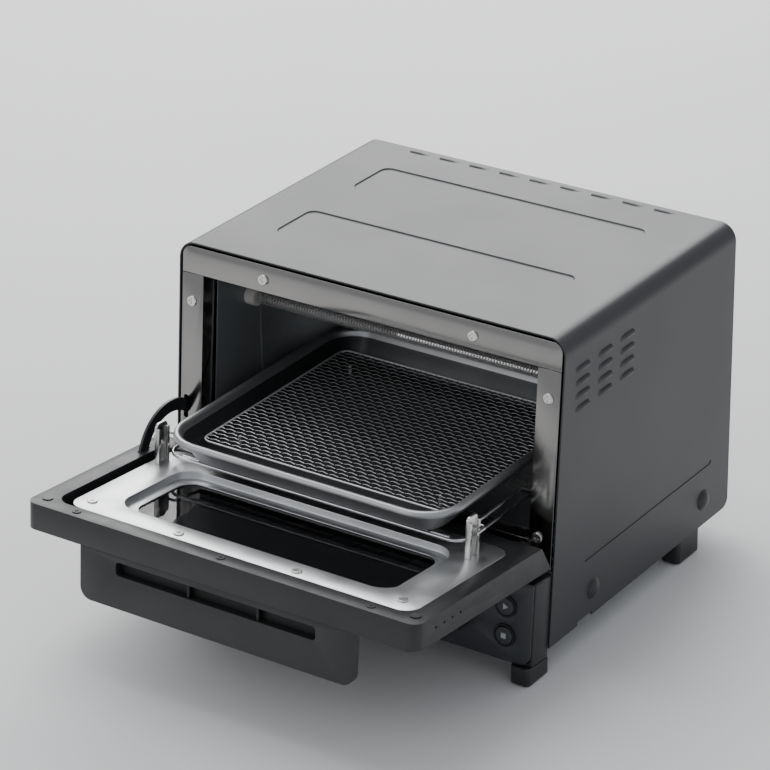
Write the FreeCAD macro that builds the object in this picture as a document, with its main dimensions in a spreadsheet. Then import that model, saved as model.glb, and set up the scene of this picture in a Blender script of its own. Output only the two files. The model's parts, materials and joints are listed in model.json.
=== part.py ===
import FreeCAD, Part
import math
import os
import re

import Sketcher
from FreeCAD import Placement, Rotation, Vector

# A four-slice toaster oven, millimetres, +Z up, front towards -Y, standing on Z = 0.
# The door is open and level with the floor of the oven; the rack and the tray are pulled out.
#
# Two working frames share one origin, the middle of the cover's lower front edge:
#   upright  X right, Y back, Z up
#   raked    the same, leaning back with the front, so the door and fascia are square in it

os.makedirs("parts", exist_ok=True)
doc = FreeCAD.newDocument("toaster_oven")
sheet = doc.addObject("Spreadsheet::Sheet", "sizes")

SIZES = {
    # casing
    "cover_width": 350, "cover_depth": 275, "cover_height": 245.7, "cover_corner": 14,
    "skin": 1.2, "rake": 4.887, "lift": 21.8, "origin_back": 45.26, "pad_thick": 1,
    "spacer_radius": 9, "spacer_proud": 4,
    # front frame, in the raked frame
    "frame_half": 172, "frame_top": 243.3, "opening_half": 152, "opening_top": 221.3,
    "sill_top": 83.5, "frame_low": 62, "frame_thick": 1.5, "flange_deep": 15,
    # control housing
    "housing_half": 174, "housing_low": -8, "housing_top": 60.6, "housing_wall": 2.5,
    "fascia_front": -24.4, "fascia_thick": 2, "button_side": 150, "start_level": 37.2,
    "cancel_level": 13.2, "button_radius": 7.2, "bezel_radius": 9.25, "dial_side": 100,
    "dial_level": 26, "dial_radius": 22, "dial_proud": 19,
    # oven chamber
    "wall_half": 150, "chamber_floor": 82, "chamber_top": 224, "chamber_back": 268,
    "tube_radius": 5.5, "tube_half": 141, "heater_low": 88.5, "heater_high": 184.5,
    "heater_front": 75, "heater_rear": 190, "rail_level": 100.6, "rail_inner": 133,
    # door, in the raked frame
    "door_half": 176, "door_front": -187.3, "door_rear": -5.9, "door_rear_over": -20.5,
    "door_under": 68.2, "door_over": 89.5, "door_corner": 9, "axis_front": -17.2, "axis_level": 74.3,
    "handle_half": 123.5, "handle_low": 25.2, "handle_thick": 7, "hook_side": 142,
    "hook_half": 2.2, "arm_side": -166.8, "arm_thick": 2.2, "pin_radius": 2,
    "eye_radius": 3.6, "running_gap": 0.05,
    # rack, tray and net
    "rack_level": 103.8, "rack_wire": 1.3, "rack_front": -57.8, "rack_back": 147.5,
    "rack_side": 136, "rack_pitch": 23.3, "tray_half": 126, "tray_front": -75,
    "tray_back": 169, "rim_level": 126.4, "rim_radius": 3.3, "tray_low": 105.6,
    "tray_taper": 13.5, "tray_foot": 6, "tray_corner": 30, "net_half": 114, "net_front": -43,
    "net_back": 151, "net_corner": 8, "net_level": 115.5,
}
for row, (alias, value) in enumerate(SIZES.items(), start=1):
    sheet.set(f"A{row}", alias)
    sheet.set(f"B{row}", str(value))
    sheet.setAlias(f"B{row}", alias)
doc.recompute()


def cells(text):
    """An expression over aliases, written the way another object refers to the sheet."""
    return re.sub(r"\b([a-z]\w+)\b", r"sizes.\1", str(text))


def size(text):
    """The number that an expression over aliases stands for now."""
    return float(sheet.evalExpression(cells(text)))


SEAT = Vector(0, -size("origin_back"), size("lift"))
UPRIGHT = Placement(SEAT, Rotation())
RAKED = Placement(SEAT, Rotation(Vector(1, 0, 0), -size("rake")))
LEAN = math.tan(math.radians(size("rake")))
nodes = []


def node(item, frame):
    item.Placement = frame
    nodes.append(item)
    return item


def body(label, frame):
    item = doc.addObject("PartDesign::Body", label)
    item.Label = label
    return node(item, frame)


# ---------------------------------------------------------------- sketches
def hold(sketch, constraints, bound):
    """Adds fixed constraints, and ones whose values are bound to the sheet."""
    sketch.addConstraint(constraints + [Sketcher.Constraint(*parts, size(value)) for parts, value in bound])
    first = sketch.ConstraintCount - len(bound)
    for offset, (parts, value) in enumerate(bound):
        sketch.setExpression(f"Constraints[{first + offset}]", cells(value))


def rectangle(sketch, left, right, low, high, radius=0):
    """A rectangle with optional round corners, held by constraints bound to the sheet."""
    x0, x1, y0, y1, r = (size(v) for v in (left, right, low, high, radius))
    corners = [(x0, y0), (x1, y0), (x1, y1), (x0, y1)]
    inset = [(r, 0), (0, r), (-r, 0), (0, -r)]
    shapes = []
    for i in range(4):
        (ax, ay), (bx, by) = corners[i], corners[(i + 1) % 4]
        dx, dy = inset[i]
        shapes.append(Part.LineSegment(Vector(ax + dx, ay + dy, 0), Vector(bx - dx, by - dy, 0)))
    for i in range(4 if r else 0):
        x, y = corners[i]
        centre = Vector(x + (r if i in (0, 3) else -r), y + (r if i < 2 else -r), 0)
        start = math.radians(180 + 90 * i)
        shapes.append(Part.ArcOfCircle(Part.Circle(centre, Vector(0, 0, 1), r), start, start + math.pi / 2))
    first = sketch.GeometryCount
    sketch.addGeometry(shapes, False)
    lines, arcs = range(first, first + 4), range(first + 4, first + 8)
    fixed = [Sketcher.Constraint("Vertical" if i % 2 else "Horizontal", lines[i]) for i in range(4)]
    bound = [(("DistanceX", -1, 1, lines[3], 1), left), (("DistanceX", -1, 1, lines[1], 1), right),
             (("DistanceY", -1, 1, lines[0], 1), low), (("DistanceY", -1, 1, lines[2], 1), high)]
    if r:
        for i in range(4):
            fixed.append(Sketcher.Constraint("Tangent", lines[i - 1], 2, arcs[i], 1))
            fixed.append(Sketcher.Constraint("Tangent", arcs[i], 2, lines[i], 1))
        fixed += [Sketcher.Constraint("Equal", arcs[0], arcs[i]) for i in range(1, 4)]
        bound.append((("Radius", arcs[0]), radius))
    else:
        fixed += [Sketcher.Constraint("Coincident", lines[i - 1], 2, lines[i], 1) for i in range(4)]
    hold(sketch, fixed, bound)


def circle(sketch, across, up, radius):
    curve = Part.Circle(Vector(size(across), size(up), 0), Vector(0, 0, 1), size(radius))
    index = sketch.addGeometry(curve, False)
    hold(sketch, [], [(("Radius", index), radius), (("DistanceX", -1, 1, index, 3), across),
                      (("DistanceY", -1, 1, index, 3), up)])


def slots(sketch, half_length, half_width, across, up):
    """A grid of equal rectangular slots, centred on every pair of the given places."""
    for x in across:
        for y in up:
            polygon(sketch, (x - half_length, y - half_width), (x + half_length, y - half_width),
                    (x + half_length, y + half_width), (x - half_length, y + half_width))


def polygon(sketch, *points):
    sides = [Part.LineSegment(Vector(*points[i - 1], 0), Vector(*points[i], 0)) for i in range(len(points))]
    sketch.addGeometry(sides, False)


def corner_waste(sketch, x, y, radius):
    """What a rounded corner takes off: outside the arc, at the high end along the first axis."""
    centre = Vector(x - radius, y + radius, 0)
    arc = Part.ArcOfCircle(Part.Circle(centre, Vector(0, 0, 1), radius), -math.pi / 2, 0)
    out = Vector(x + 1, y - 1, 0)
    start, end = centre - Vector(0, radius, 0), centre + Vector(radius, 0, 0)
    path = [start, Vector(start.x, out.y, 0), out, Vector(out.x, end.y, 0), end]
    sketch.addGeometry([arc] + [Part.LineSegment(a, b) for a, b in zip(path, path[1:])], False)


def band(sketch, centre, inner, outer, start, end):
    """A flat strip bent to an arc about a centre, from one angle to another, in degrees."""
    middle = Vector(*centre, 0)
    a, b = math.radians(start), math.radians(end)
    ends = []
    for radius in (inner, outer):
        ring = Part.Circle(middle, Vector(0, 0, 1), radius)
        sketch.addGeometry(Part.ArcOfCircle(ring, a, b), False)
        ends.append([middle + Vector(radius * math.cos(t), radius * math.sin(t), 0) for t in (a, b)])
    for i in range(2):
        sketch.addGeometry(Part.LineSegment(ends[0][i], ends[1][i]), False)


# For each plane of a body: the plane's role and the sign of its normal along the world axis.
PLANES = {"top": ("XY_Plane", 1), "front": ("XZ_Plane", -1), "side": ("YZ_Plane", 1)}


def feature(item, kind, view, start, end, *loops):
    """Pads or pockets loops drawn on one of the body's planes, between two levels."""
    role, sign = PLANES[view]
    plane = next(f for f in item.Origin.OriginFeatures if f.Role == role)
    sketch = item.newObject("Sketcher::SketchObject", item.Name + "_sketch")
    sketch.AttachmentSupport = [(plane, "")]
    sketch.MapMode = "FlatFace"
    base = cells(start) if sign > 0 else "-(" + cells(end) + ")"
    sketch.setExpression("AttachmentOffset.Base.z", base)
    for draw, *values in loops:
        draw(sketch, *values)
    step = item.newObject("PartDesign::" + kind, item.Name + "_" + kind.lower())
    step.Profile = sketch
    step.Type = "Length"
    step.Reversed = kind == "Pocket"
    step.setExpression("Length", f"({cells(end)}) - ({cells(start)})")
    before = item.Shape.Volume if kind == "Pocket" else 0
    doc.recompute()
    if kind == "Pocket" and item.Shape.Volume > before - 0.1:
        raise RuntimeError(item.Label + ": a pocket cut nothing")
    return step


def pad(item, view, start, end, *loops):
    return feature(item, "Pad", view, start, end, *loops)


def pocket(item, view, start, end, *loops):
    return feature(item, "Pocket", view, start, end, *loops)


def plate(label, frame, view, start, end, *loops):
    item = body(label, frame)
    pad(item, view, start, end, *loops)
    return item


def dress(item, kind, amount, is_wanted):
    """Rounds or chamfers the edges of a body's last feature that a test picks out."""
    last = item.Tip
    edges = [f"Edge{i + 1}" for i, edge in enumerate(last.Shape.Edges) if is_wanted(edge)]
    step = item.newObject("PartDesign::" + kind, item.Name + "_" + kind.lower())
    step.Base = (last, edges)
    step.setExpression("Radius" if kind == "Fillet" else "Size", cells(amount))
    doc.recompute()


def rect(*values):
    return (rectangle, *values)


def ring(*values):
    return (circle, *values)


# ---------------------------------------------------------------- plain solids
def group(label, frame, shapes):
    """Separate solids of one node, such as identical fasteners."""
    item = doc.addObject("Part::Feature", label)
    item.Label = label
    item.Shape = Part.makeCompound(shapes) if len(shapes) > 1 else shapes[0]
    return node(item, frame)


def rod(start, end, radius):
    start, end = Vector(*start), Vector(*end)
    return Part.makeCylinder(radius, (end - start).Length, start, end - start)


def solid_block(left, right, front, back, low, high):
    return Part.makeBox(right - left, back - front, high - low, Vector(left, front, low))


def bent_wire(points, radius, bend):
    """A round wire through points, with an arc of the given radius at each corner."""
    points = [Vector(*p) for p in points]
    edges = []
    last = points[0]
    for before, corner, after in zip(points, points[1:], points[2:]):
        into = (before - corner).normalize()
        out = (after - corner).normalize()
        half = into.getAngle(out) / 2
        reach = bend / math.tan(half)
        start, end = corner + into * reach, corner + out * reach
        middle = (into + out).normalize()
        top = corner + middle * (bend / math.sin(half) - bend)
        edges += [Part.LineSegment(last, start).toShape(), Part.Arc(start, top, end).toShape()]
        last = end
    edges.append(Part.LineSegment(last, points[-1]).toShape())
    path = Part.Wire(edges)
    section = Part.Wire(Part.makeCircle(radius, points[0], points[1] - points[0]))
    return path.makePipeShell([section], True, False)


def screw(centre, normal, radius, height, recess):
    """A pan head with a cross recess, seen from the end it is driven from."""
    centre, normal = Vector(*centre), Vector(*normal)
    head = Part.makeCylinder(radius, height, centre, normal)
    head = head.makeFillet(height * 0.6, [e for e in head.Edges
                                          if abs((e.CenterOfMass - centre).dot(normal) - height) < 0.01
                                          and e.Length > radius * 4])
    turn = Rotation(Vector(0, 0, 1), normal)
    for angle in (0, 90):
        cut = Part.makeBox(radius * 1.1, recess, height, Vector(-radius * 0.55, -recess / 2, 0))
        cut.rotate(Vector(), Vector(0, 0, 1), angle)
        cut.Placement = Placement(centre + normal * height * 0.45, turn) * cut.Placement
        head = head.cut(cut)
    return head


# ================================================================ casing
def make_cover():
    half = "cover_width/2"
    cover = body("outer_cover", UPRIGHT)
    pad(cover, "front", 0, "cover_depth",
        rect(f"-{half}", half, -40, "cover_height", "cover_corner"),
        rect(f"-{half} + skin", f"{half} - skin", "skin - 40", "cover_height - skin",
             "cover_corner - skin"))
    pocket(cover, "top", -41, 0, rect(f"-{half} - 1", f"{half} + 1", -1, "cover_depth + 1"))
    high = size("cover_height") + 5
    pocket(cover, "side", f"-{half} - 1", f"{half} + 1",
           (polygon, (-1, -1), (-LEAN, -1), (high * LEAN, high), (-1, high)))
    pocket(cover, "side", f"-{half} - 1", f"{half} + 1", (corner_waste, size("cover_depth"), 0, 8))
    louvres = (slots, 9.2, 1.5, (43, 75.2, 107.4), (184.2, 194.9, 205.6, 216.3))
    pocket(cover, "side", f"-{half} - 1", f"{half} + 1", louvres, rect(41, 62, -1, 3))
    vents = (slots, 9, 1.5, [28.75 * i for i in range(-4, 5)], [268])
    pocket(cover, "top", "cover_height - 3", "cover_height + 1", vents)
    for front, back in ((72, 124), (178, 229)):
        panel = pocket(cover, "top", "cover_height - 0.9", "cover_height",
                       rect(-122, 122, front + 1, back - 1, 7))
        panel.TaperAngle = 48
    for side in (-1, 1):
        inner, outer = sorted((side * (size(half) - 0.5), side * (size(half) + 1)))
        pocket(cover, "side", inner, outer, rect(50, 245, 50.4, 54.6, 2))


def make_spacers():
    """Domed wall spacers, low on both sides."""
    radius, proud = size("spacer_radius"), size("spacer_proud")
    ball = (radius ** 2 + proud ** 2) / (2 * proud)
    domes = []
    for side in (-1, 1):
        for y, z in ((63.7, 21.7), (233.8, 22.6)):
            start = Vector(side * (size("cover_width") / 2 + 0.02), y, z)
            dome = Part.makeSphere(ball, start - Vector(side * (ball - proud), 0, 0))
            domes.append(dome.common(Part.makeCylinder(radius + 1, proud + 1, start, Vector(side, 0, 0))))
    group("wall_spacers", UPRIGHT, domes)


def make_back_and_base():
    rear = body("rear_cover", UPRIGHT)
    pad(rear, "front", 270, "270 + skin", rect(-173.4, 173.4, 3, 244, 12))
    pocket(rear, "front", 269, 273, rect(-143, 143, 60.5, 76))
    vents = (slots, 9, 1.5, range(-108, 109, 27), range(150, 221, 10))
    pocket(rear, "front", 269, 273, vents, ring(-125, 30, 6.2))
    base = body("base_pan", UPRIGHT)
    pad(base, "top", 0, "skin", rect(-173, 173, 1, 269.6, 3))
    pocket(base, "top", -1, "skin + 1", (slots, 18, 2, range(-100, 101, 50), range(60, 221, 20)))
    gland = plate("cord_gland", UPRIGHT, "front", 266.5, 269.9, ring(-125, 30, 9), ring(-125, 30, 4))
    pad(gland, "front", 269.8, 274.6, ring(-125, 30, 6), ring(-125, 30, 4))


def make_feet():
    for label, front, back, top in (("feet_front", -28, 2.5, -4), ("feet_rear", 198, 232, 0)):
        shapes = []
        for side in (-1, 1):
            left, right = sorted((side * 157.2, side * 174))
            foot = solid_block(left, right, front, back, -size("lift") + size("pad_thick"), top)
            foot = foot.makeFillet(4, [e for e in foot.Edges if abs(e.tangentAt(e.FirstParameter).z) > 0.9])
            shapes.append(foot)
        if top < 0:
            hollow = solid_block(-180, 180, -40, 40, size("housing_low") - 0.05, 40)
            hollow.rotate(Vector(), Vector(1, 0, 0), -size("rake"))
            shapes = [foot.cut(hollow) for foot in shapes]
        group(label, UPRIGHT, shapes)
    pads = [rod((side * 165.6, y, -size("lift")), (side * 165.6, y, size("pad_thick - lift")), 6.5)
            for side in (-1, 1) for y in (-12, 215)]
    group("foot_pads", UPRIGHT, pads)


def make_front_frame():
    half, edge = "frame_half", "opening_half"
    deep = "frame_thick + flange_deep"
    for label, side in (("pillar_left", -1), ("pillar_right", 1)):
        inner, outer = (f"{side}*{edge}", f"{side}*{half}")
        left, right = (outer, inner) if side < 0 else (inner, outer)
        pillar = plate(label, RAKED, "front", 0, "frame_thick",
                       rect(left, right, "frame_low", "opening_top - 0.3"))
        lip = sorted((side * size(edge), side * (size(edge) + 1.2)))
        pad(pillar, "front", "frame_thick - 0.5", deep,
            rect(*lip, "sill_top + 0.2", "opening_top - 0.3"))
        if side < 0:
            pocket(pillar, "front", -1, "frame_thick + 0.2",
                   rect("arm_side - 2.1", "arm_side + 2.1", 99.5, 119, 1.8))
    top = plate("front_top_rail", RAKED, "front", 0, "frame_thick",
                rect(f"-{half}", half, "opening_top", "frame_top", 8))
    pad(top, "front", 0, "frame_thick", rect(f"-{half}", half, "opening_top", "opening_top + 10"))
    pad(top, "front", "frame_thick - 0.5", deep,
        rect(f"-{edge}", edge, "opening_top", "opening_top + 1.2"))
    sill = plate("sill", RAKED, "front", 0, "frame_thick",
                 rect(f"0.3 - {edge}", f"{edge} - 0.3", "frame_low", "sill_top"))
    pad(sill, "front", "frame_thick - 0.5", deep,
        rect(f"0.3 - {edge}", f"{edge} - 0.3", "sill_top - 1.2", "sill_top"))
    places = [(s * 95.2, 231.5) for s in (-1, 1)] + [(s * 162.3, 198.7) for s in (-1, 1)]
    places += [(s * 159.3, 86.7) for s in (-1, 1)]
    group("frame_screws", RAKED, [screw((x, 0, z), (0, -1, 0), 4.4, 1.6, 1.1) for x, z in places])


# ================================================================ oven chamber
def make_chamber():
    floor, top, back = size("chamber_floor"), size("chamber_top"), size("chamber_back")
    # Walls start just behind the return flange of the leaning frame.
    behind = size("frame_thick + flange_deep") / math.cos(math.radians(size("rake"))) + 0.5
    low_front, high_front = floor * LEAN + behind, top * LEAN + behind
    side_view = (polygon, (low_front, floor), (back, floor), (back, top), (high_front, top))
    for label, side in (("chamber_wall_left", -1), ("chamber_wall_right", 1)):
        inner, outer = side * size("wall_half"), side * (size("wall_half") + 1)
        wall = plate(label, UPRIGHT, "side", min(inner, outer), max(inner, outer), side_view)
        rib = sorted((inner + side * 0.5, inner - side * 1.5))
        pad(wall, "side", *rib, rect(88, 93, 108, 176, 2.4))
        pad(wall, "side", *rib, rect(200, 205, 108, 176, 2.4))
        rail = body("rack_rail_" + label.split("_")[-1], UPRIGHT)
        pad(rail, "side", *sorted((inner - side * 0.05, side * size("rail_inner"))),
            rect(46, 262, "rail_level", "rail_level + 1.5"))
        pad(rail, "side", *sorted((inner - side * 0.05, inner - side * 1.3)),
            rect(46, 262, "rail_level", "rail_level + 7"))
    plate("chamber_back", UPRIGHT, "front", "chamber_back + 0.1", "chamber_back + 1.3",
          rect("-wall_half", "wall_half", "chamber_floor", "chamber_top + 1", 3))
    ceiling = plate("chamber_ceiling", UPRIGHT, "top", "chamber_top + 0.1", "chamber_top + 1.3",
                    rect("-wall_half", "wall_half", high_front + 0.4, "chamber_back"))
    pad(ceiling, "top", "chamber_top - 4", "chamber_top + 0.6",
        rect(-130, 130, 60, 90, 6), rect(-128.5, 128.5, 61.5, 88.5, 5))


def make_crumb_tray():
    tray = body("crumb_tray", UPRIGHT)
    pad(tray, "top", 62, 63, rect(-140, 140, 20, 273, 4))
    pad(tray, "top", 62, 70, rect(-140, 140, 20, 273, 4), rect(-139, 139, 21, 272, 3))
    pad(tray, "front", 271.5, 274.8, rect(-40, 40, 62.5, 69.8, 2))


def make_heaters():
    half, radius = size("tube_half"), size("tube_radius")
    places = {"upper": size("heater_high"), "lower": size("heater_low")}
    caps = []
    for name, level in places.items():
        tubes, coils = [], []
        for y in (size("heater_front"), size("heater_rear")):
            tube = rod((-half, y, level), (half, y, level), radius)
            tubes.append(tube.cut(rod((-half, y, level), (half, y, level), radius - 1)))
            coils.append(rod((-half, y, level), (half, y, level), radius - 1.8))
            for side in (-1, 1):
                start, end = side * (half + 0.1), side * (size("wall_half") - 0.1)
                caps.append(rod((start, y, level), (end, y, level), radius + 2.2))
        group(name + "_quartz_tubes", UPRIGHT, tubes)
        group(name + "_element_coils", UPRIGHT, coils)
    group("heater_end_caps", UPRIGHT, caps)
    group("thermostat", UPRIGHT, [rod((155, 150, 160), (163, 150, 160), 11),
                                  solid_block(163.2, 166, 139, 161, 157, 163)])


# ================================================================ controls
def make_controls():
    front = "fascia_front + fascia_thick"
    wall = "housing_wall"
    plate("control_housing", RAKED, "front", front, -0.3,
          rect("-housing_half", "housing_half", "housing_low", "housing_top", 2),
          rect(f"{wall} - housing_half", f"housing_half - {wall}", f"housing_low + {wall}",
               f"housing_top - {wall}", 1))
    levels = ("start_level", "cancel_level")
    fascia = plate("fascia", RAKED, "front", "fascia_front", front,
                   rect("1 - housing_half", "housing_half - 1", "housing_low + 0.6", "housing_top - 0.6", 10))
    pad(fascia, "front", "fascia_front", front,
        rect("1 - housing_half", "housing_half - 1", "housing_top - 16", "housing_top - 0.6", 1.5))
    pocket(fascia, "front", "fascia_front - 1", front + " + 1", ring("dial_side", "dial_level", 4),
           *[ring("button_side", level, "bezel_radius + 0.05") for level in levels])
    bezels = [rod((size("button_side"), -25.2, size(level)), (size("button_side"), -22.6, size(level)),
                  size("bezel_radius")).cut(
              rod((size("button_side"), -26, size(level)), (size("button_side"), -22, size(level)),
                  size("button_radius") + 0.5)) for level in levels]
    group("button_bezels", RAKED, bezels)
    for name, level in (("start", levels[0]), ("cancel", levels[1])):
        button = plate("button_" + name, RAKED, "front", -26, -19, ring("button_side", level, "button_radius"))
        dress(button, "Fillet", 0.8, lambda e: abs(e.CenterOfMass.y + 26) < 0.01)
        plate("button_spring_" + name, RAKED, "front", -18.9, -12.1,
              ring("button_side", level, 4), ring("button_side", level, 3))
    board = plate("button_board", RAKED, "front", -12, -10.4, rect(134, 165, 0, 50, 1))
    pad(board, "front", -10.5, -6, rect(138, 162, 14, 36))
    knob = body("dial_knob", RAKED)
    face = "fascia_front - dial_proud"
    pad(knob, "front", face, "fascia_front - 0.6", ring("dial_side", "dial_level", "dial_radius"))
    dress(knob, "Chamfer", 1.6, lambda e: abs(e.CenterOfMass.y - size(face)) < 0.01)
    pocket(knob, "front", face + " - 1", face + " + 1",
           rect("dial_side - 1.2", "dial_side + 1.2", "dial_level + 8", "dial_level + 19"))
    pocket(knob, "front", "fascia_front - 9", "fascia_front", ring("dial_side", "dial_level", 3.02))
    plate("dial_shaft", RAKED, "front", "fascia_front - 8.9", -8, ring("dial_side", "dial_level", 3))
    timer = plate("timer", RAKED, "front", -21.9, 8,
                  rect("dial_side - 21", "dial_side + 21", "dial_level - 21", "dial_level + 21", 3))
    pocket(timer, "front", -22, -7, ring("dial_side", "dial_level", "3 + running_gap"))
    power = plate("power_board", UPRIGHT, "top", 6, 7.6, rect(-60, 20, 60, 120, 2))
    pad(power, "top", 7.5, 23, rect(-52, -34, 70, 98, 1))
    pad(power, "top", 7.5, 27, rect(-20, 8, 68, 104, 2))
    pad(power, "top", 1.3, 6.2, ring(-55, 65, 2.5), ring(15, 65, 2.5), ring(-55, 115, 2.5),
        ring(15, 115, 2.5))


# ================================================================ door
def make_door():
    outer = ("-door_half", "door_half", "door_front", "door_rear", "door_corner")
    frame = body("door_frame", RAKED)
    pad(frame, "top", "door_under", "door_over", rect(*outer), rect(-160, 161, -172.6, -36.4, 13.5))
    pad(frame, "top", "door_under", "door_under + 4", rect(*outer), rect(-119, 119, -150, -62, 18))
    square_ends = [rect(*sorted((side * 176, side * 163)), "door_rear - 14", "door_rear") for side in (-1, 1)]
    pad(frame, "top", "door_under", "door_over", *square_ends)
    # The rear face slopes, so that the door's upper edge clears the sill as it turns.
    over, under = size("door_over"), size("door_under")
    pocket(frame, "side", "-door_half - 1", "door_half + 1",
           (polygon, (size("door_rear"), under), (size("door_rear") + 2, under),
            (size("door_rear") + 2, over + 1), (size("door_rear_over"), over + 1),
            (size("door_rear_over"), over)))
    # Notches leave room for the fixed hinge eyes while the door turns; the pins cross them.
    for side in (-1, 1):
        left, right = sorted((side * 143, side * 152.5))
        pocket(frame, "top", "door_under - 1", "door_over + 1",
               rect(left, right, "axis_front - eye_radius - 1", "door_rear + 1"))
        left, right = sorted((side * 139, side * 157))
        pocket(frame, "side", left, right, ring("axis_front", "axis_level", "pin_radius + 0.01"))
    pocket(frame, "top", 76, "door_over + 1",
           rect("arm_side - 1.4", "arm_side + 1.4", -61.5, -47.2))
    pocket(frame, "side", "door_half - 8", "door_half + 1",
           *[ring(-162.4 + 10.6 * i, 79.7, 1.1) for i in range(4)])
    panel = body("door_inner_panel", RAKED)
    recess = (-121, 131, -152, -60, 20)
    pad(panel, "top", 88, 89.3, rect(-149, 160.5, -171.9, -37, 13), rect(*recess))
    pad(panel, "top", 82.4, 89.3, rect(*recess), rect(-119.8, 129.8, -150.8, -61.2, 18.8))
    pad(panel, "top", 82.4, 83.4, rect(*recess), rect(-111, 121, -142, -70, 14))
    plate("inner_glass", RAKED, "top", 79.2, 82.3, rect(-115, 125, -146, -66, 10))
    plate("outer_glass", RAKED, "top", "door_under + 4.1", "door_under + 7", rect(-127, 127, -158, -54, 8))
    seats = [(-136, -157), (144, -157), (-49.8, -164), (56.7, -164)]
    group("panel_screws", RAKED, [screw((x, y, 89.35), (0, 0, 1), 4, 1.1, 0.9) for x, y in seats])
    over = size("door_over")
    group("door_screws", RAKED, [screw((x, -179.5, over), (0, 0, 1), 3.4, 0.7, 0.8) for x in (-133, 0, 132)])
    group("door_caps", RAKED, [rod((s * 165.5, -173.3, over), (s * 165.5, -173.3, over + 0.8), 4.2)
                               for s in (-1, 1)])


def make_handle():
    front = "door_front"
    grip = plate("handle_grip", RAKED, "front", front, f"{front} + handle_thick",
                 rect("-handle_half", "handle_half", "handle_low", "door_under - 0.05", 10))
    pad(grip, "front", front, f"{front} + handle_thick",
        rect("-handle_half", "handle_half", "door_under - 12", "door_under - 0.05"))
    pocket(grip, "front", f"{front} - 1", f"{front} + handle_thick + 1", rect(-90, 90, 52.5, 63.3, 3))
    back = body("handle_backing", RAKED)
    pad(back, "front", f"{front} + handle_thick + 0.1", f"{front} + handle_thick + 4",
        rect(-118, 118, 29, 67.8, 8))
    pad(back, "front", f"{front} + 2", f"{front} + handle_thick + 0.4",
        rect(-25.5, -23.5, 52.8, 63), rect(37, 39, 52.8, 63))


def make_door_hardware():
    for label, side in (("hook_left", -1), ("hook_right", 1)):
        left, right = f"{side}*hook_side - hook_half", f"{side}*hook_side + hook_half"
        hook = body(label, RAKED)
        pad(hook, "side", left, f"{side}*hook_side", rect(-70.2, -56.5, 89.4, 122, 4))
        pad(hook, "side", left, f"{side}*hook_side", rect(-70.2, -56.5, 89.4, 100))
        pad(hook, "side", left, right, rect(-70.2, -67.6, 89.4, 118), rect(-59.1, -56.5, 89.4, 118))
    axis = (size("axis_front"), size("axis_level"))
    plate("door_arm", RAKED, "side", "arm_side - arm_thick/2", "arm_side + arm_thick/2",
          (band, (-19.4, 79.1), 31.5, 41.5, 40, 179))
    y, z = axis
    group("hinge_pins", RAKED, [rod((side * 139.1, y, z), (side * 156.9, y, z), size("pin_radius"))
                                for side in (-1, 1)])
    for label, side in (("hinge_bracket_left", -1), ("hinge_bracket_right", 1)):
        left, right = sorted((side * 146.2, side * 149.2))
        bracket = body(label, RAKED)
        pad(bracket, "side", left, right, ring("axis_front", "axis_level", "eye_radius"))
        pad(bracket, "side", left, right,
            rect("axis_front", -0.05, "axis_level - eye_radius", "axis_level + eye_radius"))
        pocket(bracket, "side", left - 1, right + 1,
               ring("axis_front", "axis_level", "pin_radius + running_gap"))


# ================================================================ rack, tray and net
def make_rack():
    z, r = size("rack_level"), size("rack_wire")
    front, back, side = size("rack_front"), size("rack_back"), size("rack_side")
    wires = [bent_wire([(-side, 60, z), (-side, front, z), (side, front, z), (side, 60, z)], r, 14),
             bent_wire([(-side, 60, z), (-side, back, z), (side, back, z), (side, 60, z)], r, 14)]
    count = 10
    for i in range(count):
        x = (i - (count - 1) / 2) * size("rack_pitch")
        wires.append(rod((x, front + 1, z), (x, back - 1, z), r))
    wires.append(rod((-side + 14, front + 3.4, z), (side - 14, front + 3.4, z), 1.3))
    lug = 1.3
    for s in (-1, 1):
        inner, outer = s * (size("hook_side") - 5), s * (size("hook_side") + 5)
        high = z + 11
        wires.append(bent_wire([(inner, 40, z), (inner, 20, high), (inner, -43.6, high),
                                (outer, -43.6, high), (outer, -56, high)], lug, 3.2))
    rack = wires[0].multiFuse(wires[1:])
    group("wire_rack", UPRIGHT, [rack.removeSplitter()])


def rounded(half, front, back, corner, level):
    """A closed rounded rectangle at one level."""
    x, y0, y1, r = half, front, back, corner
    centres = [(x - r, y1 - r, 0), (r - x, y1 - r, 90), (r - x, y0 + r, 180), (x - r, y0 + r, 270)]
    edges = []
    for cx, cy, angle in centres:
        edges.append(Part.makeCircle(r, Vector(cx, cy, level), Vector(0, 0, 1), angle, angle + 90))
    loop = []
    for i, arc in enumerate(edges):
        loop += [arc, Part.makeLine(arc.Vertexes[-1].Point, edges[(i + 1) % 4].Vertexes[0].Point)]
    return Part.Wire(loop)


def make_tray():
    half, front, back = size("tray_half"), size("tray_front"), size("tray_back")
    low, rim, taper, corner = size("tray_low"), size("rim_level"), size("tray_taper"), size("tray_corner")

    def shell(inset, bottom, top, foot):
        wires = []
        for level in (bottom, top):
            t = inset + taper * (rim - level) / (rim - low)
            wires.append(rounded(half - t, front + t, back - t, corner - t, level))
        plug = Part.makeLoft(wires, True, True)
        return plug.makeFillet(foot, [e for e in plug.Edges if abs(e.BoundBox.ZMax - bottom) < 0.01])

    foot = size("tray_foot")
    cup = shell(2, low, rim, foot).cut(shell(3, low + 1, rim + 2, foot - 1))
    path = rounded(half, front, back, corner, rim)
    start = path.Edges[0].Vertexes[0].Point
    section = Part.Wire(Part.makeCircle(size("rim_radius"), start, Vector(0, 1, 0)))
    bead = path.makePipeShell([section], True, False)
    group("baking_tray", UPRIGHT, [cup.fuse(bead).removeSplitter()])


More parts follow.
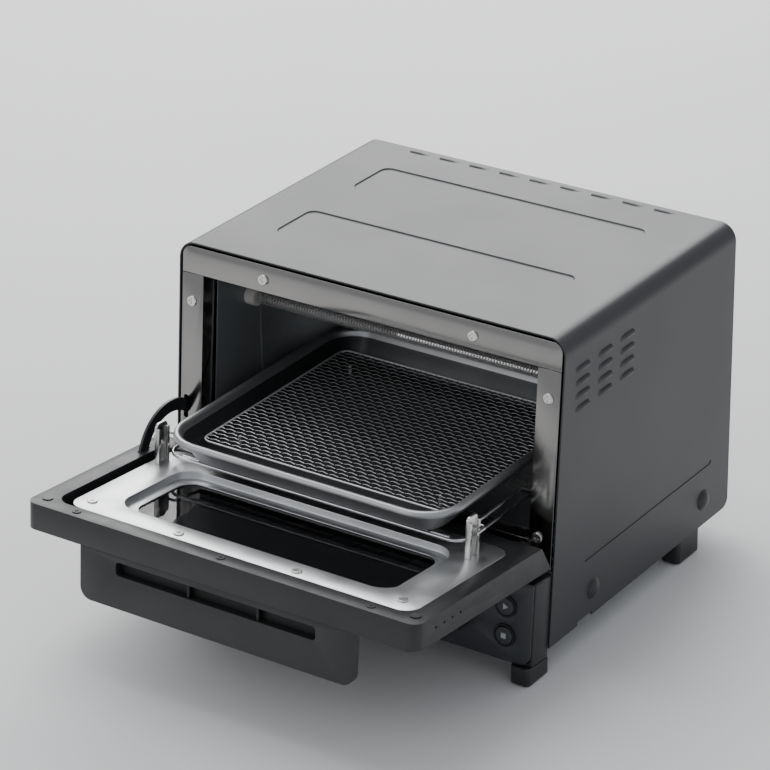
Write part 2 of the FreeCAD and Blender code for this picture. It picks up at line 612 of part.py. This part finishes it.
def make_net():
    level = size("net_level")
    half, front, back = size("net_half"), size("net_front"), size("net_back")
    net = body("mesh_net", UPRIGHT)
    pad(net, "top", level - 1, level + 1, rect("-net_half", "net_half", "net_front", "net_back", "net_corner"))
    pad(net, "top", "tray_low + 1.3", level,
        *[ring(s * (half - 22), y, 1.4) for s in (-1, 1) for y in (front + 22, back - 22)])


make_cover()
make_spacers()
make_back_and_base()
make_feet()
make_front_frame()
make_chamber()
make_crumb_tray()
make_heaters()
make_controls()
make_door()
make_handle()
make_door_hardware()
make_rack()
make_tray()
make_net()
doc.recompute()

failed = [item.Label for item in doc.Objects if "Invalid" in item.State or "Error" in item.State]
failed += [item.Label for item in nodes if item.Shape.isNull() or not item.Shape.isValid()]
if failed:
    raise RuntimeError("failed: " + ", ".join(failed))
for item in nodes:
    item.Shape.exportStep(f"parts/{item.Label}.step")
box = FreeCAD.BoundBox()
for item in nodes:
    box.add(item.Shape.BoundBox)
print(len(nodes), "nodes, box", box)
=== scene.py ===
import json
import math

import bmesh
import bpy
from mathutils import Matrix, Vector


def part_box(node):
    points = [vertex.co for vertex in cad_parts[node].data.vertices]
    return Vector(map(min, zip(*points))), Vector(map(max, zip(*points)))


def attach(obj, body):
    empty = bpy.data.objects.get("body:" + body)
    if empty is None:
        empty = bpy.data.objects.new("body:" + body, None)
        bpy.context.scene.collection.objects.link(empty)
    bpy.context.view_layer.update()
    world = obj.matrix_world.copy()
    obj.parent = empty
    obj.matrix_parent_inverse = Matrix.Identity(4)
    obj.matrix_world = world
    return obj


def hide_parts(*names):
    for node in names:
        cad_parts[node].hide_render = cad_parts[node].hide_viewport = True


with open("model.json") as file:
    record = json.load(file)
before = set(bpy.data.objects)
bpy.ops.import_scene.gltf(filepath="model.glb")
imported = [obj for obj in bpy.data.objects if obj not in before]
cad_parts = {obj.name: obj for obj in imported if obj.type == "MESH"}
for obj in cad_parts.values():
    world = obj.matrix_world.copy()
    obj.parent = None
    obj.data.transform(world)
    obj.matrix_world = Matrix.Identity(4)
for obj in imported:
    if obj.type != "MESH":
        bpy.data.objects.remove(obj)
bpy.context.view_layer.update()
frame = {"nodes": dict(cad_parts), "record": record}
nodes = frame["nodes"]

MM = 0.001
joints = {joint["name"]: joint for joint in frame["record"]["behaviour"]["joints"]}
# The front leans back: a button's travel is square to it, and gives the lean.
into = Vector(joints["start_press"]["axis"]).normalized()
lean = Matrix(((1, 0, 0), (0, into.y, -into.z), (0, into.z, into.y)))


# ================================================================ geometry helpers
def box(node):
    low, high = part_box(node)
    return Vector(low), Vector(high)


def leaning_box(node):
    """A node's lowest and highest corners, measured along the leaning axes of the front."""
    points = [lean.transposed() @ vertex.co for vertex in nodes[node].data.vertices]
    low = Vector([min(p[i] for p in points) for i in range(3)])
    high = Vector([max(p[i] for p in points) for i in range(3)])
    return low, high


def finish_mesh(name, bm, material, body, smooth=35):
    mesh = bpy.data.meshes.new(name)
    bm.normal_update()
    bm.to_mesh(mesh)
    bm.free()
    mesh.materials.append(material)
    piece = bpy.data.objects.new(name, mesh)
    bpy.context.scene.collection.objects.link(piece)
    for polygon in mesh.polygons:
        polygon.use_smooth = True
    mesh.set_sharp_from_angle(angle=math.radians(smooth))
    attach(piece, body)
    return piece


def tube(bm, points, radius, sides=8, closed=False):
    """A round tube through points, with a steady cross-section direction."""
    points = [Vector(p) for p in points]
    count = len(points)
    rings = []
    normal = None
    for i, point in enumerate(points):
        before = points[i - 1] if i or closed else point
        after = points[(i + 1) % count] if i < count - 1 or closed else point
        along = (after - before).normalized()
        if normal is None:
            normal = along.orthogonal().normalized()
        normal = (normal - along * normal.dot(along)).normalized()
        across = along.cross(normal)
        turns = [2 * math.pi * k / sides for k in range(sides)]
        rings.append([bm.verts.new(point + (normal * math.cos(t) + across * math.sin(t)) * radius)
                      for t in turns])
    for i in range(count if closed else count - 1):
        first, second = rings[i], rings[(i + 1) % count]
        shift = 0
        if closed and i == count - 1:
            gaps = [(first[0].co - v.co).length for v in second]
            shift = gaps.index(min(gaps))
        for k in range(sides):
            a, b = (k + shift) % sides, (k + 1 + shift) % sides
            bm.faces.new((first[k], first[(k + 1) % sides], second[b], second[a]))
    if not closed:
        bm.faces.new(list(reversed(rings[0])))
        bm.faces.new(rings[-1])


def rounded_loop(half, front, back, corner, steps=10):
    """Points round a rectangle with round corners, centred across X."""
    points = []
    middles = ((half - corner, back - corner), (corner - half, back - corner),
               (corner - half, front + corner), (half - corner, front + corner))
    for quarter, (x, y) in enumerate(middles):
        for step in range(steps + 1):
            turn = math.radians(90 * (quarter + step / steps))
            points.append((x + corner * math.cos(turn), y + corner * math.sin(turn)))
    return points


def softened(node, width, material, body, segments=2, smooth=40):
    """A copy of a CAD node with its sharp edges rolled over, standing for the node."""
    bm = bmesh.new()
    bm.from_mesh(nodes[node].data)
    bmesh.ops.remove_doubles(bm, verts=bm.verts, dist=2e-6)
    bmesh.ops.dissolve_limit(bm, angle_limit=math.radians(1), verts=bm.verts, edges=bm.edges)
    sharp = [e for e in bm.edges if len(e.link_faces) == 2 and e.calc_face_angle() > math.radians(40)]
    bmesh.ops.bevel(bm, geom=sharp, offset=width, segments=segments, profile=0.5, affect="EDGES",
                    clamp_overlap=True, harden_normals=False)
    bmesh.ops.triangulate(bm, faces=[f for f in bm.faces if len(f.verts) > 4])
    piece = finish_mesh("soft_" + node, bm, material, body, smooth)
    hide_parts(node)
    return piece


# ================================================================ materials
class Nodes:
    """A material's node tree, with short ways to add and join its nodes."""

    def __init__(self, name):
        self.material = bpy.data.materials.new(name)
        self.material.use_nodes = True
        self.tree = self.material.node_tree
        self.shader = self.tree.nodes["Principled BSDF"]
        self.coordinates = self.add("ShaderNodeTexCoord").outputs["Object"]

    def add(self, kind, **inputs):
        item = self.tree.nodes.new(kind)
        for name, value in inputs.items():
            self.put(item.inputs[name.replace("_", " ")], value)
        return item

    def put(self, socket, value):
        if isinstance(value, bpy.types.NodeSocket):
            self.tree.links.new(value, socket)
        else:
            socket.default_value = value

    def noise(self, scale, detail=3, stretch=(1, 1, 1)):
        mapping = self.add("ShaderNodeMapping", Vector=self.coordinates, Scale=stretch)
        texture = self.add("ShaderNodeTexNoise", Vector=mapping.outputs["Vector"], Scale=scale,
                           Detail=detail)
        return texture.outputs["Fac"]

    def between(self, factor, low, high):
        ramp = self.add("ShaderNodeMapRange", Value=factor)
        ramp.inputs["From Min"].default_value = 0.3
        ramp.inputs["From Max"].default_value = 0.7
        ramp.inputs["To Min"].default_value = low
        ramp.inputs["To Max"].default_value = high
        return ramp.outputs["Result"]

    def colours(self, factor, low, high):
        ramp = self.tree.nodes.new("ShaderNodeValToRGB")
        self.put(ramp.inputs["Fac"], factor)
        ramp.color_ramp.elements[0].position = 0.35
        ramp.color_ramp.elements[1].position = 0.65
        ramp.color_ramp.elements[0].color = (*low, 1)
        ramp.color_ramp.elements[1].color = (*high, 1)
        return ramp.outputs["Color"]

    def bump(self, height, distance, strength=0.5, normal=None):
        item = self.add("ShaderNodeBump", Height=height)
        item.inputs["Strength"].default_value = strength
        item.inputs["Distance"].default_value = distance
        if normal is not None:
            self.put(item.inputs["Normal"], normal)
        return item.outputs["Normal"]


def surface(name, colour, rough, metal=0.0, vary=0.12, grain=900, grain_depth=0.02, stretch=(1, 1, 1),
            smudge=14, rough_range=0.08):
    """A surface with a fine grain in its relief, and slow drifts of colour and roughness."""
    tree = Nodes(name)
    drift = tree.noise(smudge, detail=5)
    low = [channel * (1 - vary) for channel in colour]
    high = [min(1, channel * (1 + vary)) for channel in colour]
    tree.put(tree.shader.inputs["Base Color"], tree.colours(drift, low, high))
    fine = tree.noise(grain, detail=2, stretch=stretch)
    tree.put(tree.shader.inputs["Roughness"],
             tree.between(tree.noise(smudge * 2.3, detail=6), rough - rough_range, rough + rough_range))
    tree.put(tree.shader.inputs["Normal"], tree.bump(fine, grain_depth * MM))
    tree.shader.inputs["Metallic"].default_value = metal
    return tree.material


def glassy(name, colour, rough, alpha):
    tree = Nodes(name)
    haze = tree.noise(30, detail=5)
    tree.put(tree.shader.inputs["Base Color"], tree.colours(haze, [c * 0.85 for c in colour], colour))
    tree.put(tree.shader.inputs["Roughness"], tree.between(haze, rough, rough + 0.02))
    tree.shader.inputs["Alpha"].default_value = alpha
    tree.shader.inputs["Specular IOR Level"].default_value = 0.5
    return tree.material


paint = surface("cover_paint", (0.024, 0.0255, 0.029), 0.38, vary=0.025, grain=1800, grain_depth=0.012,
                smudge=5, rough_range=0.025)
# Dark, warm base colour for the polished frame: partly the steel's own colour, partly a painted
# reflection of a brown wooden floor.
steel_with_painted_reflection = surface("polished_steel", (0.27, 0.262, 0.252), 0.17, metal=1, vary=0.05, grain=300,
                   grain_depth=0.002, stretch=(1, 1, 12), rough_range=0.05)
satin = surface("satin_steel", (0.72, 0.73, 0.74), 0.36, metal=1, vary=0.04, grain=1500,
                grain_depth=0.006, stretch=(0.05, 1, 1), rough_range=0.06)
chamber = surface("chamber_steel", (0.25, 0.265, 0.28), 0.36, metal=0.55, vary=0.06, grain=700,
                  grain_depth=0.006, rough_range=0.05)
charcoal = surface("charcoal_plastic", (0.016, 0.0165, 0.018), 0.42, vary=0.08, grain=2600,
                   grain_depth=0.02)
bluish = surface("fascia_plastic", (0.034, 0.037, 0.043), 0.4, vary=0.05, grain=2600, grain_depth=0.012)
# Near-black copy of the charcoal plastic: painted shade on the handle backing, in the hollow behind the
# handle slot. The button bezels use it too.
shade_plastic = surface("near_black_shade_plastic", (0.004, 0.004, 0.0045), 0.6, vary=0.1, grain=2600, grain_depth=0.02)
tinted = glassy("dark_glass", (0.006, 0.0065, 0.0075), 0.02, 0.6)
quartz = glassy("quartz", (0.5, 0.5, 0.5), 0.05, 0.16)
wire = surface("heating_wire", (0.5, 0.46, 0.42), 0.4, metal=0.8, vary=0.15)
coating = surface("tray_coating", (0.42, 0.425, 0.43), 0.4, metal=0.9, vary=0.05, grain=1200,
                  grain_depth=0.008, rough_range=0.05)
# Dark copy of the tray coating for the inside wall and bottom: painted shade under the net, not a coating
# of its own.
tray_inside_painted_shade = surface("tray_inside_painted_shade", (0.07, 0.072, 0.075), 0.36, metal=0.8, vary=0.08, grain=1200,
                      grain_depth=0.008, rough_range=0.06)
chromed = surface("wire_chrome", (0.62, 0.62, 0.64), 0.18, metal=1, vary=0.06, rough_range=0.06)
mesh_wire = surface("mesh_wire", (0.8, 0.81, 0.82), 0.5, metal=0.75, vary=0.05, rough_range=0.05)
mesh_shade = surface("mesh_shade", (0.05, 0.051, 0.053), 0.5, metal=0.8, vary=0.08, rough_range=0.05)
ceramic = surface("white_ceramic", (0.62, 0.6, 0.56), 0.65, vary=0.08, grain=1500, grain_depth=0.03)
rubber = surface("foot_rubber", (0.02, 0.02, 0.02), 0.8, vary=0.2, grain=1500, grain_depth=0.03)
board = surface("circuit_board", (0.03, 0.12, 0.05), 0.35, vary=0.2)
zinc = surface("screw_steel", (0.66, 0.65, 0.63), 0.25, metal=1, vary=0.08, grain=1500, grain_depth=0.01)
ink = surface("symbol_ink", (0.42, 0.43, 0.45), 0.5, vary=0.04)

KEPT = {
    paint: ["outer_cover", "rear_cover", "door_arm"],
    chamber: ["base_pan", "chamber_wall_left", "chamber_wall_right", "rack_rail_left", "rack_rail_right",
              "chamber_back", "chamber_ceiling"],
    charcoal: ["cord_gland", "timer", "door_screws", "door_caps", "wall_spacers"],
    shade_plastic: ["handle_backing", "button_bezels"],
    rubber: ["foot_pads"],
    zinc: ["frame_screws", "thermostat", "dial_shaft", "panel_screws", "hinge_pins",
           "hinge_bracket_left", "hinge_bracket_right"],
    satin: ["crumb_tray"],
    quartz: ["upper_quartz_tubes", "lower_quartz_tubes"],
    ceramic: ["heater_end_caps"],
    board: ["button_board", "power_board"],
    tinted: ["inner_glass", "outer_glass"],
    chromed: ["wire_rack"],
}
for material, names in KEPT.items():
    for name in names:
        for slot in nodes[name].material_slots:
            slot.material = material


# ================================================================ pieces
def make_casings():
    for node, width, material, body in (
            ("door_frame", 0.9, charcoal, "door"), ("handle_grip", 0.8, charcoal, "door"),
            ("hook_left", 0.3, zinc, "door"), ("hook_right", 0.3, zinc, "door"),
            ("door_inner_panel", 0.35, satin, "door"), ("control_housing", 0.7, charcoal, "casing"),
            ("fascia", 0.5, bluish, "casing"), ("feet_front", 0.8, charcoal, "casing"),
            ("feet_rear", 0.8, charcoal, "casing"), ("pillar_left", 0.3, steel_with_painted_reflection, "casing"),
            ("pillar_right", 0.3, steel_with_painted_reflection, "casing"), ("front_top_rail", 0.3, steel_with_painted_reflection, "casing"),
            ("sill", 0.3, steel_with_painted_reflection, "casing"), ("button_start", 0.3, bluish, "start"),
            ("button_cancel", 0.3, bluish, "cancel"), ("dial_knob", 0.4, charcoal, "dial")):
        piece = softened(node, width * MM, material, body)


def make_net():
    """Waved wires across straighter ones inside a round border, on four short legs."""
    low, high = box("mesh_net")
    level = high.z - 1 * MM
    border, corner, leg_inset = 0.8 * MM, 8 * MM, 22 * MM
    wire_radius, pitch = 0.32 * MM, 5 * MM
    half = high.x - border
    front, back = low.y + border, high.y - border
    bm = bmesh.new()
    loop = rounded_loop(half, front, back, corner)
    tube(bm, [(x, y, level) for x, y in loop], border, sides=8, closed=True)

    def reach(offset, near, far):
        """How far a wire runs before the round corner of the border cuts it short."""
        edge = min(offset - near, far - offset)
        return corner - math.sqrt(max(0, corner ** 2 - (corner - edge) ** 2)) if edge < corner else 0

    straight = bmesh.new()
    for across in (True, False):
        start, end = (front, back) if across else (-half, half)
        count = round((end - start) / pitch) - 1
        for i in range(count):
            offset = start + (end - start) * (i + 1) / (count + 1)
            trim = reach(offset, start, end)
            a, b = (-half + trim, half - trim) if across else (front + trim, back - trim)
            steps = round((b - a) / pitch) * 4
            points = []
            for k in range(steps + 1):
                along = a + (b - a) * k / steps
                wave = math.cos(math.pi * (along - (-half if across else front)) / pitch + math.pi * i)
                height = level + wave * wire_radius * (1.25 if across else -0.35)
                points.append((along, offset, height) if across else (offset, along, height))
            tube(bm if across else straight, points, wire_radius, sides=6)
    for side in (-1, 1):
        for y in (low.y + leg_inset, high.y - leg_inset):
            x = side * (high.x - leg_inset)
            tube(bm, [(x, y, level), (x, y, low.z)], 1.2 * MM, sides=8)
    for name, weave, material in (("net_waves", bm, mesh_wire), ("net_straights", straight, mesh_shade)):
        net = finish_mesh(name, weave, material, "net", smooth=60)
        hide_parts("mesh_net")


def make_tray():
    """A pressed pan: rolled rim, tapered wall, round foot and a flat bottom with a raised field."""
    low, high = box("baking_tray")
    roll = 3.3 * MM
    half = (high.x - low.x) / 2 - roll
    front, back = low.y + roll, high.y - roll
    rim, bottom = high.z - roll, low.z
    thick = 1.0 * MM
    corner, taper, foot = 30 * MM, 13.5 * MM, 6 * MM
    outer = [(roll * math.cos(t), rim + roll * math.sin(t))
             for t in (math.radians(a) for a in range(-70, 181, 25))]
    profile = [(-x, z) for x, z in outer]
    # The wall leans in steadily, then turns along an arc into the flat bottom.
    slope = math.atan2(taper, rim - bottom)
    foot_z = bottom + thick + foot * (1 - math.sin(slope))
    wall_inset, wall_steps, foot_steps = 3 * MM, 8, 6
    wall = []
    for k in range(wall_steps + 1):
        z = rim - (rim - foot_z) * k / wall_steps
        wall.append((wall_inset + taper * (rim - z) / (rim - bottom), z))
    curve_x, curve_z = wall[-1][0] + foot * math.cos(slope), bottom + thick + foot
    turns = [slope + (math.pi / 2 - slope) * k / foot_steps for k in range(1, foot_steps + 1)]
    round_foot = [(curve_x - foot * math.cos(t), curve_z - foot * math.sin(t)) for t in turns]
    # The middle of the bottom stands a little higher than the channel along the wall.
    channel, ramp, raised = 8 * MM, 10 * MM, 0.6 * MM
    field = [(curve_x + channel, bottom + thick), (curve_x + ramp, bottom + thick + raised)]
    inside = profile + wall[1:] + round_foot + field
    outside = [(x - thick * 0.9, z - thick) for x, z in reversed(wall[1:] + round_foot)]
    outside = [(field[-1][0], bottom + raised), (field[0][0], bottom)] + outside
    bm = bmesh.new()
    rings = []
    for inset, level in inside + outside:
        loop = rounded_loop(half - inset, front + inset, back - inset, max(corner - inset, 3 * MM), 12)
        rings.append([bm.verts.new((x, y, level)) for x, y in loop])
    size = len(rings[0])
    last_inside = len(inside) - 1
    for i in range(len(rings)):
        if i == last_inside:
            continue
        a, b = rings[i], rings[(i + 1) % len(rings)]
        for k in range(size):
            side = bm.faces.new((a[k], a[(k + 1) % size], b[(k + 1) % size], b[k]))
            # The inside wall and the inside bottom take the second, darker material: painted shade under
            # the net.
            side.material_index = 1 if len(profile) <= i < last_inside else 0
    bm.faces.new(rings[last_inside]).material_index = 1
    bm.faces.new(list(reversed(rings[last_inside + 1])))
    bmesh.ops.recalc_face_normals(bm, faces=bm.faces)
    tray = finish_mesh("pressed_tray", bm, coating, "tray", smooth=50)
    tray.data.materials.append(tray_inside_painted_shade)
    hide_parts("baking_tray")


def helix(bm, start, axis, length, radius, pitch, wire_radius, sides=5, per_turn=14):
    side = axis.orthogonal().normalized()
    other = axis.cross(side)
    count = int(length / pitch * per_turn)
    points = []
    for i in range(count + 1):
        turn = 2 * math.pi * i / per_turn
        points.append(start + axis * (length * i / count)
                      + (side * math.cos(turn) + other * math.sin(turn)) * radius)
    tube(bm, points, wire_radius, sides=sides)


def make_coils():
    for name in ("upper", "lower"):
        low, high = box(name + "_element_coils")
        radius = (high.z - low.z) / 2
        bm = bmesh.new()
        for y in (low.y + radius, high.y - radius):
            helix(bm, Vector((low.x, y, low.z + radius)), Vector((1, 0, 0)), high.x - low.x,
                  radius - 0.6 * MM, 2.6 * MM, 0.42 * MM)
        coil = finish_mesh(name + "_coil_wire", bm, wire, "casing", smooth=60)
        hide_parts(name + "_element_coils")
    for name in ("start", "cancel"):
        node = "button_spring_" + name
        low, high = leaning_box(node)
        bm = bmesh.new()
        start = lean @ Vector(((low.x + high.x) / 2, low.y + 0.4 * MM, (low.z + high.z) / 2))
        helix(bm, start, into, high.y - low.y - 0.8 * MM, 3.6 * MM, 1.5 * MM, 0.35 * MM)
        spring = finish_mesh(node + "_wire", bm, zinc, "casing", smooth=60)
        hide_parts(node)


def make_symbols():
    """A triangle on the start button and a square on the cancel button, slightly raised."""
    reach = 3 * MM
    for body, count, turn in (("start", 3, 0), ("cancel", 4, 45)):
        low, high = leaning_box("button_" + body)
        x, z = (low.x + high.x) / 2, (low.z + high.z) / 2
        bm = bmesh.new()
        faces = []
        for depth in (-0.12, 0.3):
            corners = []
            for k in range(count):
                angle = math.radians(turn + 360 * k / count)
                across, up = reach * math.cos(angle), reach * math.sin(angle)
                corners.append(bm.verts.new(lean @ Vector((x + across, low.y + depth * MM, z + up))))
            faces.append(corners)
        bm.faces.new(list(reversed(faces[0])))
        bm.faces.new(faces[1])
        for k in range(count):
            bm.faces.new((faces[0][k], faces[0][(k + 1) % count], faces[1][(k + 1) % count], faces[1][k]))
        bmesh.ops.recalc_face_normals(bm, faces=bm.faces)
        mark = finish_mesh("symbol_" + body, bm, ink, body)


def hood(bm, start, along, up, out, length, tall, rise):
    """A pressed hood that swells out of a sheet, closed at its start and open at its far end."""
    rings = []
    for k in range(9):
        swell = math.sin(min(k / 4, 1) * math.pi / 2) * rise
        ring = []
        for j in range(9):
            angle = math.pi * j / 8
            height = max(swell * math.sin(angle), 0.02 * MM)
            ring.append(bm.verts.new(start + along * (length * k / 8) + up * (tall / 2 * math.cos(angle))
                                     + out * height))
        rings.append(ring)
    for a, b in zip(rings, rings[1:]):
        for j in range(8):
            bm.faces.new((a[j], a[j + 1], b[j + 1], b[j]))


def finish_hoods(name, bm):
    bmesh.ops.recalc_face_normals(bm, faces=bm.faces)
    bmesh.ops.solidify(bm, geom=bm.faces[:], thickness=0.35 * MM)
    hoods = finish_mesh(name, bm, paint, "casing", smooth=60)


def make_louvres():
    """Pressed hoods over the side slots and over the row of slots at the back of the top."""
    low, high = box("outer_cover")
    columns, rows = (33.8, 66.0, 98.2), (184.2, 194.9, 205.6, 216.3)
    vent_pitch, vent_back, sunk = 28.75, 268, 0.3 * MM
    back, across, up = Vector((0, 1, 0)), Vector((1, 0, 0)), Vector((0, 0, 1))
    for side, name in ((-1, "louvres_left"), (1, "louvres_right")):
        bm = bmesh.new()
        for column in columns:
            for row in rows:
                start = Vector((side * (high.x - sunk), low.y + column * MM, low.z + row * MM))
                hood(bm, start, back, up, across * side, 18.4 * MM, 5.2 * MM, 2.2 * MM)
        finish_hoods(name, bm)
    bm = bmesh.new()
    for i in range(-4, 5):
        start = Vector(((vent_pitch * i + 9) * MM, low.y + vent_back * MM, high.z - sunk))
        hood(bm, start, -across, back, up, 18 * MM, 4.4 * MM, 1.3 * MM)
    finish_hoods("louvres_top", bm)


make_casings()
make_net()
make_tray()
make_coils()
make_symbols()
make_louvres()


# ================================================================ stage, light and camera
def make_stage():
    bm = bmesh.new()
    bmesh.ops.create_grid(bm, x_segments=1, y_segments=1, size=6)
    mesh = bpy.data.meshes.new("floor")
    bm.to_mesh(mesh)
    bm.free()
    floor = bpy.data.objects.new("floor", mesh)
    bpy.context.scene.collection.objects.link(floor)
    tree = Nodes("floor_paper")
    paper = tree.colours(tree.noise(3), (0.82, 0.82, 0.82), (0.84, 0.84, 0.84))
    tree.put(tree.shader.inputs["Base Color"], paper)
    tree.shader.inputs["Roughness"].default_value = 0.75
    mesh.materials.append(tree.material)
    world = bpy.data.worlds.new("studio")
    world.use_nodes = True
    world.node_tree.nodes["Background"].inputs["Color"].default_value = (0.92, 0.95, 1, 1)
    world.node_tree.nodes["Background"].inputs["Strength"].default_value = 0.62
    bpy.context.scene.world = world


def make_light(name, place, target, power, width, height, colour=(1, 1, 1)):
    data = bpy.data.lights.new(name, "AREA")
    data.shape = "RECTANGLE"
    data.size, data.size_y = width, height
    data.energy = power
    data.color = colour
    lamp = bpy.data.objects.new(name, data)
    lamp.location = place
    lamp.rotation_euler = (Vector(target) - Vector(place)).to_track_quat("-Z", "Y").to_euler()
    bpy.context.scene.collection.objects.link(lamp)


def make_camera():
    azimuth, elevation, roll = (math.radians(a) for a in (34.32, 25.73, -0.8))
    back = Vector((math.sin(azimuth) * math.cos(elevation), -math.cos(azimuth) * math.cos(elevation),
                   math.sin(elevation)))
    right = Vector((0, 0, 1)).cross(back).normalized()
    up = back.cross(right)
    turned_right = right * math.cos(roll) + up * math.sin(roll)
    turned_up = up * math.cos(roll) - right * math.sin(roll)
    data = bpy.data.cameras.new("camera")
    data.sensor_width = 36
    data.lens = 161.2
    data.clip_end = 50
    camera = bpy.data.objects.new("camera", data)
    camera.matrix_world = Matrix.Translation((1.3389, -1.9633, 1.3226)) @ Matrix(
        (turned_right, turned_up, back)).transposed().to_4x4()
    bpy.context.scene.collection.objects.link(camera)
    bpy.context.scene.camera = camera


make_stage()
make_light("back", (-1.3, 1.9, 1.45), (0, 0, 0.15), 62, 2.6, 1.7)
make_light("key", (-0.7, 0.3, 2.4), (0, 0, 0.1), 22, 1.6, 1.4)
make_light("front", (-1.2, -2.2, 1.5), (0, 0, 0.1), 9, 1.6, 1.2)
make_camera()
